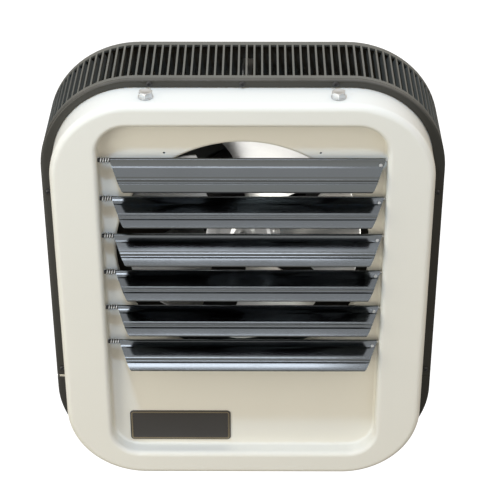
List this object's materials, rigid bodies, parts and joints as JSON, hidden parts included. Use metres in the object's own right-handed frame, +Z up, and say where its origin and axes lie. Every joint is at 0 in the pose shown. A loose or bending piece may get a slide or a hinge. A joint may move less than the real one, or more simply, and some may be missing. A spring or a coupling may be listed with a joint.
{
  "type": "ceiling fan heater",
  "caption": "Ceiling-hung electric fan heater: slotted rounded case, drawn front panel with tilting louvres over a round outlet, axial fan, heating elements and a drop-down wiring door.",
  "frame": {"origin": "midway between the two front hanger bolts, on the top wall of the front panel that they are screwed into", "axes": "+X right as seen from the front, +Y from the front to the back, +Z up"},
  "size_m": [0.3556, 0.2073, 0.4147],
  "materials": {
    "almond_paint": "almond powder coat, fine orange peel, satin",
    "bronze_paint": "dark bronze powder coat, satin",
    "louvre_aluminium": "extruded and clear anodised, satin with lengthwise draw lines",
    "fan_aluminium": "bright rolled sheet",
    "zinc": "bright zinc plate",
    "galvanised": "hot dip galvanised sheet",
    "black_enamel": "black enamel, semi gloss",
    "element_steel": "finned sheath, heat browned",
    "black_plastic": "moulded phenolic",
    "copper": "varnished winding and lamination stack"
  },
  "bodies": {
    "case": {"front_panel": "almond_paint", "front_frame": "bronze_paint", "intake_band": "bronze_paint", "rear_panel": "bronze_paint", "motor_cover": "bronze_paint", "wiring_partition": "galvanised", "name_plate": "black_enamel", "motor_body": "black_enamel", "motor_bracket": "galvanised", "heating_element_front": "element_steel", "heating_element_middle": "element_steel", "heating_element_rear": "element_steel", "element_clip_top": "galvanised", "element_clip_left": "galvanised", "element_clip_right": "galvanised", "contactor": "black_plastic", "transformer": "copper", "terminal_block": "black_plastic", "fan_relay": "black_plastic", "high_limit_thermostat": "zinc", "door_hinge_pin": "zinc", "hanger_bolt_front_left": "zinc", "hanger_bolt_rear_left": "zinc", "knockout_left": "bronze_paint", "cover_screw_left": "black_enamel", "hanger_bolt_front_right": "zinc", "hanger_bolt_rear_right": "zinc", "knockout_right": "bronze_paint", "cover_screw_right": "black_enamel", "frame_screw_left_upper": "black_enamel", "frame_screw_left_lower": "black_enamel", "frame_screw_right_upper": "black_enamel", "frame_screw_right_lower": "black_enamel", "frame_screw_top_left": "black_enamel", "frame_screw_top_middle": "black_enamel", "frame_screw_top_right": "black_enamel", "louvre_spring_1": "zinc", "louvre_spring_2": "zinc", "louvre_spring_3": "zinc", "louvre_spring_4": "zinc", "louvre_spring_5": "zinc", "louvre_spring_6": "zinc"},
    "louvre_1": {"louvre_blade_1": "louvre_aluminium", "louvre_rod_1": "zinc"},
    "louvre_2": {"louvre_blade_2": "louvre_aluminium", "louvre_rod_2": "zinc"},
    "louvre_3": {"louvre_blade_3": "louvre_aluminium", "louvre_rod_3": "zinc"},
    "louvre_4": {"louvre_blade_4": "louvre_aluminium", "louvre_rod_4": "zinc"},
    "louvre_5": {"louvre_blade_5": "louvre_aluminium", "louvre_rod_5": "zinc"},
    "louvre_6": {"louvre_blade_6": "louvre_aluminium", "louvre_rod_6": "zinc"},
    "fan": {"fan_wheel": "fan_aluminium", "fan_hub": "zinc", "motor_shaft": "zinc"},
    "door": {"access_door": "bronze_paint", "door_screw_left": "black_enamel", "door_screw_right": "black_enamel"}
  },
  "joints": [
    {"name": "louvre_1_tilt", "type": "hinge", "parent": "case", "child": "louvre_1", "pos_m": [0, -0.0085, -0.0557], "axis": [-1, 0, 0], "range_deg": [-35, 55]},
    {"name": "louvre_2_tilt", "type": "hinge", "parent": "case", "child": "louvre_2", "pos_m": [0, -0.0085, -0.0938], "axis": [-1, 0, 0], "range_deg": [-52, 38]},
    {"name": "louvre_3_tilt", "type": "hinge", "parent": "case", "child": "louvre_3", "pos_m": [0, -0.0085, -0.1319], "axis": [-1, 0, 0], "range_deg": [-43, 47]},
    {"name": "louvre_4_tilt", "type": "hinge", "parent": "case", "child": "louvre_4", "pos_m": [0, -0.0085, -0.17], "axis": [-1, 0, 0], "range_deg": [-54, 36]},
    {"name": "louvre_5_tilt", "type": "hinge", "parent": "case", "child": "louvre_5", "pos_m": [0, -0.0085, -0.2081], "axis": [-1, 0, 0], "range_deg": [-53, 37]},
    {"name": "louvre_6_tilt", "type": "hinge", "parent": "case", "child": "louvre_6", "pos_m": [0, -0.0085, -0.2462], "axis": [-1, 0, 0], "range_deg": [-47, 43]},
    {"name": "fan_spin", "type": "hinge", "parent": "case", "child": "fan", "pos_m": [0, 0.0335, -0.1571], "axis": [0, 1, 0], "continuous": true},
    {"name": "door_swing", "type": "hinge", "parent": "case", "child": "door", "pos_m": [0, 0.099, -0.40248], "axis": [1, 0, 0], "range_deg": [0, 80]}
  ]
}
